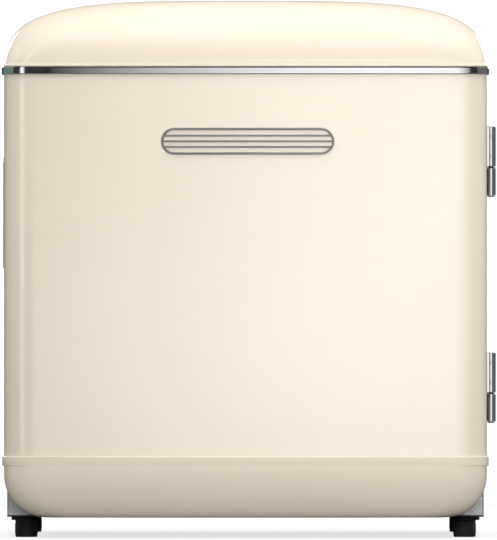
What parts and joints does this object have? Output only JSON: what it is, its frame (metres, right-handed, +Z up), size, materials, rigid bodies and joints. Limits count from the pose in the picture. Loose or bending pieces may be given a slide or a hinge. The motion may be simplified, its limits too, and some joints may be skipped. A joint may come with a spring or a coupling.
{
  "type": "mini fridge",
  "caption": "Table-top retro mini fridge with a domed, side-hinged door, inner freezer box, door racks, rear condenser and levelling feet.",
  "frame": {"origin": "middle of the whole object's footprint, on the surface it stands on", "axes": "+Z up; the door faces -Y; +X is the hinge side, to the right when facing the door"},
  "size_m": [0.456, 0.474, 0.496],
  "materials": {
    "cream_skin": "gloss cream over a faint orange peel",
    "grey_steel": "light grey powder coat with a fine speckle",
    "zinc_sheet": "galvanised sheet",
    "white_liner": "white moulded lining, satin",
    "foam": "rigid insulating foam, hidden",
    "seal": "pale grey soft seal",
    "chrome": "mirror chrome",
    "satin_badge": "satin grey",
    "black_plastic": "matt black",
    "black_enamel": "semi-gloss black enamel",
    "black_rubber": "matt black rubber",
    "evaporator": "satin aluminium",
    "zinc_steel": "bright zinc plate",
    "copper": "drawn copper",
    "shelf_glass": "clear toughened glass",
    "clear_plastic": "frosted clear plastic"
  },
  "bodies": {
    "cabinet": {"back_panel": "zinc_sheet", "base_plate": "black_enamel", "bay_panel": "zinc_sheet", "cabinet_foam": "foam", "compressor": "black_enamel", "condenser_bracket_left": "black_plastic", "condenser_bracket_right": "black_plastic", "condenser_coil": "black_enamel", "cord_bracket": "zinc_steel", "cord_gland": "black_plastic", "evaporation_pan": "black_plastic", "filter_drier": "copper", "flap_bracket_left": "white_liner", "flap_bracket_right": "white_liner", "foot_socket_left": "black_plastic", "foot_socket_right": "black_plastic", "freezer_box": "evaporator", "front_frame": "grey_steel", "glass_shelf": "shelf_glass", "grommet_back_left": "black_rubber", "grommet_back_right": "black_rubber", "grommet_front_left": "black_rubber", "grommet_front_right": "black_rubber", "inner_liner": "white_liner", "left_side_panel": "grey_steel", "lower_hinge_cabinet_leaf": "chrome", "lower_hinge_pin": "zinc_steel", "lower_hinge_washer": "black_plastic", "rear_foot_left": "black_plastic", "rear_foot_right": "black_plastic", "right_side_panel": "grey_steel", "shelf_trim": "white_liner", "suction_tube": "copper", "terminal_cover": "black_plastic", "thermostat_housing": "white_liner", "top_cover": "cream_skin", "tray_rail_left": "white_liner", "tray_rail_right": "white_liner", "upper_hinge_cabinet_leaf": "chrome", "upper_hinge_pin": "zinc_steel", "upper_hinge_washer": "black_plastic"},
    "door": {"door_outer_shell": "cream_skin", "door_foam": "foam", "door_inner_liner": "white_liner", "door_gasket": "seal", "chrome_band": "chrome", "badge": "satin_badge", "grip_cup": "cream_skin", "bottle_rack": "clear_plastic", "upper_rack": "clear_plastic", "bottle_rack_bar": "chrome", "upper_rack_bar": "chrome", "lower_hinge_door_leaf": "chrome", "upper_hinge_door_leaf": "chrome"},
    "freezer_flap": {"freezer_flap": "clear_plastic"},
    "drip_tray": {"drip_tray": "clear_plastic"},
    "thermostat_knob": {"thermostat_knob": "white_liner"},
    "front_foot_left": {"front_foot_left": "black_plastic"},
    "front_foot_right": {"front_foot_right": "black_plastic"}
  },
  "joints": [
    {"name": "door_hinge", "type": "hinge", "parent": "cabinet", "child": "door", "pos_m": [0.2236, -0.16495, 0.25], "axis": [0, 0, 1], "range_deg": [0, 120]},
    {"name": "freezer_flap_hinge", "type": "hinge", "parent": "cabinet", "child": "freezer_flap", "pos_m": [-0.0544, -0.06005, 0.4315], "axis": [-1, 0, 0], "range_deg": [0, 90]},
    {"name": "thermostat_turn", "type": "hinge", "parent": "cabinet", "child": "thermostat_knob", "pos_m": [0.1326, -0.05595, 0.4107], "axis": [0, -1, 0], "range_deg": [0, 300]},
    {"name": "drip_tray_slide", "type": "slide", "parent": "cabinet", "child": "drip_tray", "axis": [0, -1, 0], "range_m": [0, 0.072]},
    {"name": "front_foot_left_screw", "type": "slide", "parent": "cabinet", "child": "front_foot_left", "axis": [0, 0, -1], "range_m": [0, 0.008]},
    {"name": "front_foot_right_screw", "type": "slide", "parent": "cabinet", "child": "front_foot_right", "axis": [0, 0, -1], "range_m": [0, 0.008]}
  ]
}
